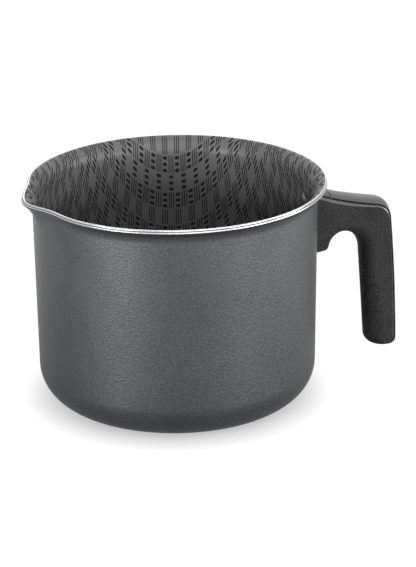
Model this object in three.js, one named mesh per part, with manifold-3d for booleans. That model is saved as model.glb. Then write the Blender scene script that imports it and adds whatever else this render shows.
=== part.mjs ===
// A milk boiler: a deep drawn aluminium pot with a flared pouring rim and a pouring lip, and a moulded hook
// handle. A steel bracket is riveted through the wall, its tongue enters the socket of the handle, and a
// screw from under the arm, with a spring washer and a square nut, holds the handle on the tongue.
// Millimetres, +Z up. The origin is the centre of the base, the handle is along +X and the lip is at -X.

import * as THREE from "three";
import { mergeVertices } from "three/addons/utils/BufferGeometryUtils.js";
import Module from "manifold-3d";

const wasm = await Module();
wasm.setup();

// Pot
const height = 112; // rim top above the base
const bodyDiameter = 141; // outside, where the flare starts
const wallDraft = 0.74; // degrees, the wall closes in towards the base
const wall = 2.2; // sheet thickness
const floorThickness = 2.2;
const baseCornerRadius = 18.5; // outside
const flareReach = 4.5; // the rim's overhang past the wall
const flareAngle = 70; // degrees from upright at the rim's edge

// Pouring lip, with angles in degrees of the rim from the lip's middle
const lipReach = 3.4; // past the rim's circle
const lipHalfAngle = 10.5;
const lipFlareRadius = 18; // the wall bends out to the lip more gently than to the rim
const lipDip = 1.45; // the lip's edge below the rim
const lipPinch = 0.9; // depth of the hollow in the rim on each side of the lip
const lipPinchAngle = 19.5;
const lipPinchHalfAngle = 7.9;
const lipPullIn = 1.05; // forming the lip draws the rim around it inwards
const lipPullDown = 0.75; // and down
const lipPullHalfAngle = 66;

// Rivets
const rivetPitch = 20.5;
const rivetRadius = 2.5;
const rivetHeadRadius = 4.5; // inside the pot
const rivetHeadHeight = 1.7;
const rivetTailRadius = 3.5; // on the bracket
const rivetTailHeight = 1.6;

// Bracket
const bracketThickness = 1.8;
const bracketEdge = 3.9; // past each rivet's centre
const tongueWidth = 9;
const tongueThickness = 2.5;
const tongueEnd = 5.4; // past the screw

// Handle
const handleWidth = 16;
const crownRise = 3; // the outer side is rounded across by this much
const rimDrop = 10.5; // rim top to the root's top at the wall
const rootFoot = 5.6; // root's underside to the lower rivet
const rootShoulder = 8.7; // upper rivet to the root's top
const rootDepth = 7.9; // out from the wall, at the underside
const rootRise = 1.2; // the underside rises this much, from the wall to the arch
const rootCorner = 2; // rounding of the underside's outer corner
const archReach = 8.8; // root to the top of the arch
const archDrop = 4.4; // the grip's inner face starts this far below the arch's foot
const fingerGap = 28.8; // wall to the top of the grip's inner face
const gripThickness = 15.9;
const gripBulge = 0.7; // the grip's outer side swells by this much
const gripLean = 3.6; // degrees, the grip's end stands away from the pot
const gripClearance = 11.5; // grip's end above the base
const armDrop = 11.6; // root's top to the arm's outer corner
const armRootSlope = 25; // degrees, the arm's top falls by this at the wall
const armEndSlope = 11.3; // degrees, at its outer corner
const armCornerLength = 7; // the corner is rounded over this length
const palmRadius = 7.6; // section corners of the grip, on the side of the fingers
const palmRoom = 0.97; // they take up to this share of half the width
const rootEdgeRadius = 1.5; // section corners of the root's underside
const gripEndInner = 6; // rounding of the grip's end
const gripEndOuter = 4;
const gripEndSide = 3;
const gripEndRoom = 0.8; // the rounding takes up to this share of the thickness
const socketWall = 2.6; // beside the bracket

// Screw, spring washer and square nut
const screwRadius = 2;
const screwHeadRadius = 3.7;
const screwHeadHeight = 2.6;
const screwEnd = 1.2; // past the nut
const slotWidth = 1.1;
const slotDepth = 1.2;
const washerRadius = 3.6;
const washerThickness = 1;
const washerSplit = 0.8;
const headRecess = 0.6; // the head's face inside the arm's underside
const screwWeb = 2.6; // handle material under the tongue
const armCover = 3.9; // handle material over the screw's end
const nutSize = 7;
const nutHeight = 3.2;

const fit = 0.3; // clearance between pieces
const overshoot = 1; // cutters reach past what they cut

// Facets
const potSegments = 96;
const lipCrowding = 0.45; // the pot's facets stand closer together at the lip
const roundSegments = 28;
const arcSteps = 3; // half the steps of each arc in the pot's profile

const radians = THREE.MathUtils.degToRad;
const vec2 = (x, z) => new THREE.Vector2(x, z);

// Places that follow from the sizes

const topRadius = bodyDiameter / 2;
const flareRadius = flareReach / (1 - Math.cos(radians(flareAngle)));
const flareStart = height - (flareRadius + wall) * Math.sin(radians(flareAngle)); // away from the lip
const wallSlope = Math.tan(radians(wallDraft));
const wallRadius = (z) => topRadius - (flareStart - z) * wallSlope;
const baseRadius = wallRadius(baseCornerRadius);
const flareCentre = topRadius + flareRadius;

const rootTop = height - rimDrop;
const upperRivet = rootTop - rootShoulder;
const lowerRivet = upperRivet - rivetPitch;
const rootBottom = lowerRivet - rootFoot;
const rivetHeights = { lower: lowerRivet, upper: upperRivet };

const seatRadius = (z) => wallRadius(z) + fit; // the handle's root and the bracket sit this far out
const rootSeat = seatRadius(rootBottom);
const rootFace = rootSeat + rootDepth;
const archFoot = rootBottom + rootRise;
const gripTop = archFoot - archDrop;
const gripInner = wallRadius(rootBottom) + fingerGap;
const leanSlope = Math.tan(radians(gripLean));
const gripInnerAt = (z) => gripInner + (gripTop - z) * leanSlope;
const gripOuterAt = (z) => gripInnerAt(z) + gripThickness;
const endShare = Math.min(1, (gripEndRoom * gripThickness) / (gripEndInner + gripEndOuter));
const innerEnd = gripEndInner * endShare;
const outerEnd = gripEndOuter * endShare;
const gripEnd = gripClearance + innerEnd;

// The arm's top is evenly stepped in x, so its share of the way out is also its share of the curve.
const cornerHeight = rootTop - armDrop;
const armCorner = vec2(gripOuterAt(cornerHeight), cornerHeight);
const armEndFall = Math.tan(radians(armEndSlope));
const armSpan = armCorner.x - armCornerLength - rootSeat;
const armEnd = vec2(rootSeat + armSpan, cornerHeight + armCornerLength * armEndFall);
const armTop = new THREE.CubicBezierCurve(
  vec2(rootSeat, rootTop),
  vec2(rootSeat + armSpan / 3, rootTop - (Math.tan(radians(armRootSlope)) * armSpan) / 3),
  vec2(armEnd.x - armSpan / 3, armEnd.y + (armEndFall * armSpan) / 3),
  armEnd,
);
const armShare = (x) => (x - rootSeat) / armSpan;

// The screw stands under the top of the arch. What it holds is stacked down from the arm's top.
const screwPlace = rootFace + Math.min(archReach, (gripInner - rootFace) / 2);
const screwTop = armTop.getPoint(armShare(screwPlace)).y - armCover;
const nutTop = screwTop - screwEnd;
const nutBottom = nutTop - nutHeight;
const tongueTop = nutBottom - fit;
const tongueBottom = tongueTop - tongueThickness;
const socketFloor = tongueBottom - fit;
const screwSeat = socketFloor - screwWeb;
const washerBottom = screwSeat - fit - washerThickness;
const screwHeadBottom = washerBottom - fit - screwHeadHeight;
const archTop = screwHeadBottom - headRecess;

const bracketWidth = Math.max(handleWidth - 2 * (socketWall + fit), 2 * rivetTailRadius);
const bracketBottom = lowerRivet - bracketEdge;
const bracketTop = upperRivet + bracketEdge;
const bracketFace = (z) => seatRadius(z) + bracketThickness;
const bracketReach = screwPlace + tongueEnd;

// Solids

function solid(geometry) {
  const bare = geometry.index ? geometry.toNonIndexed() : geometry.clone();
  bare.deleteAttribute("normal");
  bare.deleteAttribute("uv");
  const merged = mergeVertices(bare, 1e-4);
  return new wasm.Manifold(
    new wasm.Mesh({
      numProp: 3,
      vertProperties: merged.attributes.position.array,
      triVerts: new Uint32Array(merged.index.array),
    }),
  );
}

function geometryOf(made) {
  const mesh = made.getMesh();
  const geometry = new THREE.BufferGeometry();
  geometry.setAttribute("position", new THREE.BufferAttribute(mesh.vertProperties, 3));
  geometry.setIndex(new THREE.BufferAttribute(mesh.triVerts, 1));
  geometry.computeVertexNormals();
  return geometry;
}

// A profile of radius and height turned round +Z.
function turned(points, segments) {
  return new THREE.LatheGeometry(points, segments).rotateX(Math.PI / 2);
}

// An upright round bar with its lower end at z.
function bar(radius, length, x, z) {
  return new THREE.CylinderGeometry(radius, radius, length, roundSegments)
    .rotateX(Math.PI / 2)
    .translate(x, 0, z + length / 2);
}

// A round bar along +X with its inner end at x.
function levelBar(radius, length, x, z) {
  return new THREE.CylinderGeometry(radius, radius, length, roundSegments)
    .rotateZ(Math.PI / 2)
    .translate(x + length / 2, 0, z);
}

// A box from x to x and z to z, centred on the handle's plane.
function block(x0, x1, width, z0, z1) {
  return new THREE.BoxGeometry(x1 - x0, width, z1 - z0).translate((x0 + x1) / 2, 0, (z0 + z1) / 2);
}

// Rows of equal counts of points, joined by triangles.
function skin(rows) {
  const triangles = [];
  for (let r = 0; r + 1 < rows.length; r += 1) {
    for (let k = 0; k + 1 < rows[r].length; k += 1) {
      const [a, b, c, d] = [rows[r][k], rows[r][k + 1], rows[r + 1][k + 1], rows[r + 1][k]];
      triangles.push(a, b, c, a, c, d);
    }
  }
  return new THREE.BufferGeometry().setFromPoints(triangles);
}

function ring(inner, outer, z0, z1) {
  const corners = [vec2(inner, z0), vec2(outer, z0), vec2(outer, z1), vec2(inner, z1), vec2(inner, z0)];
  return turned(corners, roundSegments);
}

// Pot

// A smooth hump round the rim, 1 at its middle, with its place and half width in degrees.
function hump(angle, middle, halfAngle) {
  return Math.exp(-(((angle - radians(middle)) / radians(halfAngle)) ** 2));
}

// The bend that takes the wall out to the rim, and the rim's height, at an angle from the lip's middle.
function flareAt(angle) {
  const aside = Math.abs(angle);
  const bulge = hump(aside, 0, lipHalfAngle);
  const pinch = hump(aside, lipPinchAngle, lipPinchHalfAngle);
  const pull = hump(aside, 0, lipPullHalfAngle);
  const reach = flareReach + lipReach * bulge - lipPinch * pinch - lipPullIn * pull;
  const radius = flareRadius + (lipFlareRadius - flareRadius) * bulge;
  const top = height - lipDip * bulge - lipPullDown * pull;
  return { radius, bend: Math.acos(1 - reach / radius), top };
}

function potProfile(angle) {
  const { radius, bend, top } = flareAt(angle);
  const start = top - (radius + wall) * Math.sin(bend);
  const centre = wallRadius(start) + radius;
  const insideRadius = baseCornerRadius - wall;
  const cornerCentre = baseRadius - baseCornerRadius;
  const path = new THREE.Path();
  path.moveTo(0, 0);
  path.lineTo(cornerCentre, 0);
  path.absarc(cornerCentre, baseCornerRadius, baseCornerRadius, -Math.PI / 2, 0, false);
  path.absarc(centre, start, radius, Math.PI, Math.PI - bend, true);
  path.absarc(centre, start, radius + wall, Math.PI - bend, Math.PI, false);
  path.absarc(cornerCentre, floorThickness + insideRadius, insideRadius, 0, -Math.PI / 2, true);
  path.lineTo(0, floorThickness);
  return path.getPoints(arcSteps);
}

function potShell() {
  const rings = [];
  for (let k = 0; k < potSegments; k += 1) {
    const even = (2 * Math.PI * k) / potSegments;
    const fromLip = even - lipCrowding * Math.sin(even);
    const angle = Math.PI - fromLip;
    const place = (p) => new THREE.Vector3(p.x * Math.cos(angle), p.x * Math.sin(angle), p.y);
    rings.push(potProfile(fromLip > Math.PI ? fromLip - 2 * Math.PI : fromLip).map(place));
  }
  rings.push(rings[0]);
  return skin(rings);
}

function makePot() {
  let pot = solid(potShell());
  for (const z of Object.values(rivetHeights)) {
    const inside = wallRadius(z) - wall - overshoot;
    pot = pot.subtract(solid(levelBar(rivetRadius + fit, wall + 2 * overshoot, inside, z)));
  }
  return geometryOf(pot);
}

// Rivets

function makeRivet(z) {
  const sheetInside = wallRadius(z) - wall;
  const dip = sheetInside - Math.sqrt(sheetInside ** 2 - rivetHeadRadius ** 2);
  const headSeat = sheetInside - dip - fit;
  const tailSeat = bracketFace(z) + fit;
  const shank = tailSeat - headSeat;
  const domeRadius = (rivetHeadRadius ** 2 + rivetHeadHeight ** 2) / (2 * rivetHeadHeight);
  const domeAngle = Math.asin(rivetHeadRadius / domeRadius);
  const path = new THREE.Path();
  path.absarc(0, domeRadius - rivetHeadHeight, domeRadius, -Math.PI / 2, domeAngle - Math.PI / 2, false);
  path.lineTo(rivetRadius, 0);
  path.lineTo(rivetRadius, shank);
  path.lineTo(rivetTailRadius, shank);
  path.lineTo(rivetTailRadius, shank + rivetTailHeight / 2);
  path.lineTo(rivetRadius, shank + rivetTailHeight);
  path.lineTo(0, shank + rivetTailHeight);
  return turned(path.getPoints(arcSteps), roundSegments).rotateY(Math.PI / 2).translate(headSeat, 0, z);
}

// Bracket

function makeBracket() {
  const saddleProfile = [
    vec2(seatRadius(bracketBottom), bracketBottom),
    vec2(bracketFace(bracketBottom), bracketBottom),
    vec2(bracketFace(bracketTop), bracketTop),
    vec2(seatRadius(bracketTop), bracketTop),
    vec2(seatRadius(bracketBottom), bracketBottom),
  ];
  const front = block(0, 2 * topRadius, bracketWidth, bracketBottom - overshoot, bracketTop + overshoot);
  const tongueRoot = seatRadius(tongueBottom) + bracketThickness / 2;
  const tongue = block(tongueRoot, bracketReach, tongueWidth, tongueBottom, tongueTop);
  let bracket = solid(turned(saddleProfile, potSegments)).intersect(solid(front)).add(solid(tongue));
  for (const z of Object.values(rivetHeights)) {
    const drilled = bracketThickness + 2 * overshoot;
    bracket = bracket.subtract(solid(levelBar(rivetRadius + fit, drilled, seatRadius(z) - overshoot, z)));
  }
  const drilled = tongueThickness + 2 * overshoot;
  const screwHole = bar(screwRadius + fit, drilled, screwPlace, tongueBottom - overshoot);
  return geometryOf(bracket.subtract(solid(screwHole)));
}

// Handle

// Each stretch pairs a line along the crown of the outer side with one on the side of the fingers.
function handleStretches() {
  const rootInside = rootSeat - rootDepth; // inside the wall, so that the wall's seat trims the root
  const cornerEnd = vec2(gripOuterAt(cornerHeight - armCornerLength), cornerHeight - armCornerLength);
  const cornerCurve = new THREE.QuadraticBezierCurve(armEnd, armCorner, cornerEnd);
  const gripBase = vec2(gripOuterAt(gripEnd), gripEnd);
  const gripMiddle = cornerEnd.clone().lerp(gripBase, 0.5).add(vec2(2 * gripBulge, 0));
  const gripSide = new THREE.QuadraticBezierCurve(cornerEnd, gripMiddle, gripBase);
  const quarter = Math.PI / 2;
  const rise = vec2(screwPlace - rootFace, archTop - archFoot);
  const fall = vec2(gripInner - screwPlace, archTop - gripTop);
  const archRise = new THREE.EllipseCurve(screwPlace, archFoot, rise.x, rise.y, Math.PI, quarter, true);
  const archFall = new THREE.EllipseCurve(screwPlace, gripTop, fall.x, fall.y, quarter, 0, true);
  const part = (curve, from, to) => (t) => curve.getPoint(from + (to - from) * t);
  const line = (a, b) => part(new THREE.LineCurve(a, b), 0, 1);
  const armHalf = part(armTop, armShare(screwPlace), 1);
  const underside = vec2(rootSeat, rootBottom);
  const rootTip = vec2(rootFace, archFoot);
  const roundStart = rootTip.clone().lerp(underside, Math.min(1, rootCorner / rootDepth));
  const riseShare = Math.asin(Math.min(1, rootCorner / rise.y)) / quarter; // of the arch, past the rounding
  const roundEnd = archRise.getPoint(riseShare);
  const rootRound = new THREE.QuadraticBezierCurve(roundStart, rootTip, roundEnd);
  return [
    {
      steps: 1,
      outer: line(vec2(rootInside, rootTop), vec2(rootSeat, rootTop)),
      inner: line(vec2(rootInside, rootBottom), underside),
    },
    { steps: 4, outer: part(armTop, 0, armShare(roundStart.x)), inner: line(underside, roundStart) },
    {
      steps: 4,
      outer: part(armTop, armShare(roundStart.x), armShare(roundEnd.x)),
      inner: part(rootRound, 0, 1),
    },
    {
      steps: 8,
      outer: part(armTop, armShare(roundEnd.x), armShare(screwPlace)),
      inner: part(archRise, riseShare, 1),
    },
    {
      steps: 14,
      outer: (t) => (t < 0.5 ? armHalf(2 * t) : cornerCurve.getPoint(2 * t - 1)),
      inner: part(archFall, 0, 1),
      palm: [rootEdgeRadius, palmRadius],
    },
    {
      steps: 4,
      outer: part(gripSide, 0, 1),
      inner: line(vec2(gripInner, gripTop), vec2(gripInnerAt(gripEnd), gripEnd)),
      palm: [palmRadius, palmRadius],
    },
  ];
}

// A section from the inner point to the outer one, as a closed row of points: the inner side has rounded
// corners and the outer side is a shallow arc.
function section(inner, outer, halfWidth, palmSize) {
  const up = outer.clone().sub(inner);
  const depth = up.length();
  up.normalize();
  const rise = Math.min(crownRise, depth / 2, halfWidth / 2);
  const palm = Math.min(palmSize, depth - rise, palmRoom * halfWidth);
  const crownRadius = (halfWidth ** 2 + rise ** 2) / (2 * rise);
  const crownAngle = Math.asin(halfWidth / crownRadius);
  const corners = [
    { across: palm - halfWidth, along: palm, radius: palm, start: -Math.PI, turn: Math.PI / 2, steps: 4 },
    { across: halfWidth - palm, along: palm, radius: palm, start: -Math.PI / 2, turn: Math.PI / 2, steps: 4 },
    {
      across: 0,
      along: depth - crownRadius,
      radius: crownRadius,
      start: Math.PI / 2 - crownAngle,
      turn: 2 * crownAngle,
      steps: 8,
    },
  ];
  const points = [];
  for (const { across, along, radius, start, turn, steps } of corners) {
    for (let k = 0; k <= steps; k += 1) {
      const angle = start + (turn * k) / steps;
      const reach = along + radius * Math.sin(angle);
      const y = across + radius * Math.cos(angle);
      points.push(new THREE.Vector3(inner.x + up.x * reach, y, inner.y + up.y * reach));
    }
  }
  points.push(points[0]);
  return points;
}

function handleBody() {
  const half = handleWidth / 2;
  const rows = [];
  for (const { steps, outer, inner, palm = [rootEdgeRadius, rootEdgeRadius] } of handleStretches()) {
    for (let k = rows.length ? 1 : 0; k <= steps; k += 1) {
      const t = k / steps;
      rows.push(section(inner(t), outer(t), half, THREE.MathUtils.lerp(palm[0], palm[1], t)));
    }
  }
  const endSteps = 5;
  for (let k = 1; k <= endSteps; k += 1) {
    const turn = ((Math.PI / 2) * k) / endSteps;
    const rounded = 1 - Math.cos(turn);
    const drop = Math.sin(turn);
    const inner = vec2(gripInnerAt(gripEnd) + innerEnd * rounded, gripEnd - innerEnd * drop);
    const outer = vec2(gripOuterAt(gripEnd) - outerEnd * rounded, gripClearance + outerEnd * (1 - drop));
    rows.push(section(inner, outer, half - gripEndSide * rounded, palmRadius));
  }
  const middle = (row) => row[0].clone().lerp(row[row.length >> 1], 0.5);
  const closing = (row) => row.map(() => middle(row));
  return skin([closing(rows[0]), ...rows, closing(rows[rows.length - 1])]);
}

// The pot's outside with the clearance, for the handle's root to sit on.
function potSeat() {
  const path = new THREE.Path();
  path.moveTo(0, 0);
  path.lineTo(seatRadius(0), 0);
  path.absarc(flareCentre, flareStart, flareRadius - fit, Math.PI, Math.PI - radians(flareAngle), true);
  path.lineTo(0, height);
  return turned(path.getPoints(arcSteps), potSegments);
}

function makeHandle() {
  const tailReach = bracketFace(upperRivet) + fit + rivetTailHeight + fit;
  const recessWidth = Math.max(bracketWidth, 2 * rivetTailRadius) + 2 * fit;
  const recessBottom = Math.min(bracketBottom, lowerRivet - rivetTailRadius) - fit;
  const recessTop = Math.max(bracketTop, upperRivet + rivetTailRadius) + fit;
  const nutReach = screwPlace + nutSize / 2 + fit;
  const headHole = Math.max(screwHeadRadius, washerRadius) + fit;
  const cutters = [
    potSeat(),
    block(0, tailReach, recessWidth, recessBottom, recessTop),
    block(0, bracketReach + fit, tongueWidth + 2 * fit, socketFloor, tongueTop + fit),
    block(0, nutReach, nutSize + 2 * fit, socketFloor, nutTop + fit),
    bar(screwRadius + fit, screwTop + fit - rootBottom, screwPlace, rootBottom),
    bar(headHole, screwSeat - rootBottom, screwPlace, rootBottom),
  ];
  const whole = solid(handleBody());
  return geometryOf(cutters.reduce((left, cutter) => left.subtract(solid(cutter)), whole));
}

// Screw, spring washer and nut

function makeScrew() {
  const length = screwTop - screwHeadBottom;
  const path = new THREE.Path();
  const edge = screwHeadHeight / 2;
  path.moveTo(0, 0);
  path.lineTo(screwHeadRadius - edge, 0);
  path.absarc(screwHeadRadius - edge, edge, edge, -Math.PI / 2, 0, false);
  path.lineTo(screwHeadRadius, screwHeadHeight);
  path.lineTo(screwRadius, screwHeadHeight);
  path.lineTo(screwRadius, length - screwRadius / 2);
  path.lineTo(screwRadius / 2, length);
  path.lineTo(0, length);
  const slot = new THREE.BoxGeometry(2 * (screwHeadRadius + overshoot), slotWidth, 2 * slotDepth);
  const screw = solid(turned(path.getPoints(arcSteps), roundSegments)).subtract(solid(slot));
  return geometryOf(screw).translate(screwPlace, 0, screwHeadBottom);
}

function makeWasher() {
  const whole = solid(ring(screwRadius + fit, washerRadius, 0, washerThickness));
  const split = new THREE.BoxGeometry(2 * washerRadius, washerSplit, 4 * washerThickness)
    .rotateX(Math.PI / 6)
    .translate(washerRadius, 0, washerThickness / 2);
  return geometryOf(whole.subtract(solid(split))).translate(screwPlace, 0, washerBottom);
}

function makeNut() {
  const half = nutSize / 2;
  const shape = new THREE.Shape([vec2(-half, -half), vec2(half, -half), vec2(half, half), vec2(-half, half)]);
  shape.holes.push(new THREE.Path().absarc(0, 0, screwRadius + fit, 0, 2 * Math.PI, true));
  const settings = { depth: nutHeight, bevelEnabled: false, curveSegments: roundSegments };
  return new THREE.ExtrudeGeometry(shape, settings).translate(screwPlace, 0, nutBottom);
}

// Assembly

const graphiteCoat = new THREE.MeshStandardMaterial({ color: 0x5c5d61, roughness: 0.45, metalness: 0.5 });
const phenolic = new THREE.MeshStandardMaterial({ color: 0x2c2a2b, roughness: 0.55, metalness: 0 });
const aluminium = new THREE.MeshStandardMaterial({ color: 0xc9cacc, roughness: 0.3, metalness: 1 });
const steel = new THREE.MeshStandardMaterial({ color: 0x9a9b9d, roughness: 0.35, metalness: 1 });

function piece(name, geometry, material) {
  const mesh = new THREE.Mesh(geometry, material);
  mesh.name = name;
  return mesh;
}

const handleSet = new THREE.Group();
handleSet.add(
  piece("handle", makeHandle(), phenolic),
  piece("handle_bracket", makeBracket(), steel),
  piece("handle_screw", makeScrew(), steel),
  piece("spring_washer", makeWasher(), steel),
  piece("square_nut", makeNut(), steel),
);

const milkBoiler = new THREE.Group();
milkBoiler.add(piece("pot", makePot(), graphiteCoat), handleSet);
for (const [place, z] of Object.entries(rivetHeights)) {
  milkBoiler.add(piece(`${place}_rivet`, makeRivet(z), aluminium));
}

export default milkBoiler;
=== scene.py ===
import math

import bmesh
import bpy
from mathutils import Matrix, Vector


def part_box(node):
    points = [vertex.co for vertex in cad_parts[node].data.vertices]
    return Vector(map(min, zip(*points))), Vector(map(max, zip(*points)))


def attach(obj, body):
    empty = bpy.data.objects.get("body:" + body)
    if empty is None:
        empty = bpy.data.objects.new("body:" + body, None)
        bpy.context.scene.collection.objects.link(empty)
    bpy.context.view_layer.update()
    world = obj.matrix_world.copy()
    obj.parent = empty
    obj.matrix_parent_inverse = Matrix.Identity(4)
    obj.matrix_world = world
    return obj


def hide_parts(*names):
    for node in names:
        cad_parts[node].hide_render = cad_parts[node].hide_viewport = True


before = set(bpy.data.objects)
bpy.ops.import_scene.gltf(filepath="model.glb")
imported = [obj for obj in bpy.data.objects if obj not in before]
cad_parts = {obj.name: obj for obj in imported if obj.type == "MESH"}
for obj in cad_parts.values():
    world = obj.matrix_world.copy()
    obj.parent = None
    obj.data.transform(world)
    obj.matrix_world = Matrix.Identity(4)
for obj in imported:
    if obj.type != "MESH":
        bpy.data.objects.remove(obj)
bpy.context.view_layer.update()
print("frame loaded:", sorted(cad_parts))


class Wire:  # one socket of a node tree, so that sums can be written as sums
    def __init__(self, tree, socket):
        self.tree = tree
        self.socket = socket

    @classmethod
    def node(cls, tree, kind, settings=None, inputs=None, output=0):
        made = tree.nodes.new(kind)
        for name, value in (settings or {}).items():
            setattr(made, name, value)
        for key, value in (inputs or {}).items():
            if isinstance(value, (Wire, list)):
                for wire in value if isinstance(value, list) else [value]:
                    tree.links.new(wire.socket, made.inputs[key])
            else:
                made.inputs[key].default_value = value
        return cls(tree, made.outputs[output]) if made.outputs else None

    def other(self, output):  # another output of the same node
        return Wire(self.tree, self.socket.node.outputs[output])

    def math(self, operation, *values):
        return sumOf(self.tree, operation, self, *values)

    def clamped(self):
        return Wire.node(self.tree, "ShaderNodeClamp", None, {0: self})

    def __add__(self, value):
        return self.math("ADD", value)

    def __radd__(self, value):
        return sumOf(self.tree, "ADD", value, self)

    def __sub__(self, value):
        return self.math("SUBTRACT", value)

    def __rsub__(self, value):
        return sumOf(self.tree, "SUBTRACT", value, self)

    def __mul__(self, value):
        return self.math("MULTIPLY", value)

    def __rmul__(self, value):
        return sumOf(self.tree, "MULTIPLY", value, self)

    def __truediv__(self, value):
        return self.math("DIVIDE", value)

    def __pow__(self, value):
        return self.math("POWER", value)

    def __lt__(self, value):
        return self.math("LESS_THAN", value)

    def __gt__(self, value):
        return self.math("GREATER_THAN", value)


def sumOf(tree, operation, *values):
    return Wire.node(tree, "ShaderNodeMath", {"operation": operation}, dict(enumerate(values)))


def hump(away, halfWidth):  # 1 at its middle, and smooth
    return (0 - (away / halfWidth) ** 2).math("EXPONENT")


# Finishes

def newFinish(name):
    finish = bpy.data.materials.new(name)
    finish.use_nodes = True
    finish.node_tree.nodes.clear()
    return finish, finish.node_tree


def endFinish(finish, shader):
    Wire.node(finish.node_tree, "ShaderNodeOutputMaterial", None, {"Surface": shader})
    return finish


def principled(tree, inputs):
    return Wire.node(tree, "ShaderNodeBsdfPrincipled", None, inputs)


def objectPlace(tree):
    return Wire.node(tree, "ShaderNodeTexCoord", output="Object")


def grain(tree, place, size, detail=2):  # noise with features of this size in metres
    inputs = {"Vector": place, "Scale": 1 / size, "Detail": detail}
    return Wire.node(tree, "ShaderNodeTexNoise", None, inputs)


def swing(noise, amount):  # noise about its middle
    return (noise - 0.5) * amount


def mixColours(tree, factor, first, second):
    inputs = {0: factor, 6: first, 7: second}
    return Wire.node(tree, "ShaderNodeMix", {"data_type": "RGBA"}, inputs, 2)


def bump(tree, height, strength, distance):
    inputs = {"Height": height, "Strength": strength, "Distance": distance}
    return Wire.node(tree, "ShaderNodeBump", None, inputs)


def grey(value):
    return (value, value, value, 1)


coatLook = {
    "dark": (0.037, 0.038, 0.0412, 1),
    "light": (0.102, 0.104, 0.1125, 1),
    "fleckSize": 0.0007,
    "fleckContrast": 1.3,
    "cloudSize": 0.03,
    "cloudContrast": 0.3,
    "roughness": 0.46,
    "roughnessSwing": 0.2,
    "metallic": 0.92,
    "grazing": grey(0.95),  # how much of the glare at low angles stays
    "peelSize": 0.0011,
    "peelDepth": 0.00022,
    "peelStrength": 0.6,
    "fleckRelief": 0.3,  # how far the flecks stand out of the peel
}


def graphiteCoat():
    finish, tree = newFinish("graphiteCoat")
    look = coatLook
    place = objectPlace(tree)
    flecks = grain(tree, place, look["fleckSize"], detail=3)
    peel = grain(tree, place, look["peelSize"])
    cloud = grain(tree, place, look["cloudSize"])
    shade = swing(flecks, look["fleckContrast"]) + swing(cloud, look["cloudContrast"]) + 0.5
    return endFinish(finish, principled(tree, {
        "Base Color": mixColours(tree, shade.clamped(), look["dark"], look["light"]),
        "Roughness": look["roughness"] + swing(flecks, look["roughnessSwing"]),
        "Metallic": look["metallic"],
        "Specular Tint": look["grazing"],
        "Normal": bump(tree, peel + flecks * look["fleckRelief"], look["peelStrength"], look["peelDepth"]),
    }))


rimLook = {
    "dull": grey(0.48),
    "bright": grey(0.54),
    "streakSize": 0.0009,
    # painted shade: a dark line along the groove across the cut edge
    "line": grey(0.05),
    "grooveShadePlace": 0.56,  # share of the way across the cut edge
    "lineWidth": 0.11,
    "roughness": 0.28,
    "roughnessSwing": 0.05,
}


def bareRim():
    finish, tree = newFinish("bareRim")
    look = rimLook
    streaks = grain(tree, objectPlace(tree), look["streakSize"], detail=3)
    edge = Wire.node(tree, "ShaderNodeAttribute", {"attribute_name": "edgeShare"}, output="Fac")
    # painted shade of the groove, a dark line across the cut edge
    line = hump(edge - look["grooveShadePlace"], look["lineWidth"])
    bare = mixColours(tree, streaks, look["dull"], look["bright"])
    return endFinish(finish, principled(tree, {
        "Base Color": mixColours(tree, line, bare, look["line"]),
        "Roughness": look["roughness"] + swing(streaks, look["roughnessSwing"]),
        "Metallic": 1.0,
    }))


liningLook = {
    "groundDark": (0.100, 0.0975, 0.0980, 1),
    "groundLight": (0.138, 0.1350, 0.1355, 1),
    "groundGrain": 0.0005,
    "mark": (0.0090, 0.0085, 0.0086, 1),
    "roughness": 0.42,
    "roughnessSwing": 0.2,
    "specular": 0.35,
    "markRoughness": 0.65,  # the print is duller than the lining
    "markSpecular": 0.10,
    "reliefSize": 0.0012,
    "reliefDepth": 0.0001,
    "reliefStrength": 0.15,
    "cellAcross": 0.00587,  # the weave's cells on the flat sheet
    "cellAlong": 0.00542,
    "acrossShift": 0.5,  # cells, like the lengths and widths below
    "alongShift": -0.225,
    "dashLength": 0.36,
    "dashWidth": 0.27,
    "dashCount": 3,
    "dashFill": 1.15,  # over 1 fattens the dashes
    "dashSharpness": 4,
    "lineCount": 3,
    "lineWidth": 0.25,
    "lineLength": 0.46,
    "lineSharpness": 12,
    "rowCycle": 4,  # one row in each cycle has no dashes, and one has no lines
}


def weave(tree):  # 1 on the print's dashes and lines, which turn about from cell to cell
    look = liningLook
    sheet = Wire.node(tree, "ShaderNodeUVMap", {"uv_map": "sheet"})
    flat = Wire.node(tree, "ShaderNodeSeparateXYZ", None, {0: sheet})
    across = flat / look["cellAcross"] + look["acrossShift"]
    along = flat.other(1) / look["cellAlong"] + look["alongShift"]
    column = across.math("FLOOR")
    line = along.math("FLOOR")
    acrossCell = across - column - 0.5  # from the middle of the cell
    alongCell = along - line - 0.5
    odd = (column + line).math("FLOORED_MODULO", 2) > 0.5
    turn = line.math("FLOORED_MODULO", look["rowCycle"])
    dashRow = turn > 0.5
    lineRow = (turn - look["rowCycle"] / 2).math("ABSOLUTE") > 0.5
    overDash = (along * look["dashCount"]).math("FRACT") - 0.5
    reach = (acrossCell / look["dashLength"]) ** 4 + (overDash / look["dashWidth"]) ** 2
    dash = ((look["dashFill"] - reach) * look["dashSharpness"]).clamped()
    overLine = ((across * look["lineCount"]).math("FRACT") - 0.5).math("ABSOLUTE")
    inCell = alongCell.math("ABSOLUTE") < look["lineLength"]
    strand = ((look["lineWidth"] - overLine) * look["lineSharpness"]).clamped() * inCell
    return (dash * (1 - odd) * dashRow + strand * odd * lineRow).clamped()


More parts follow.
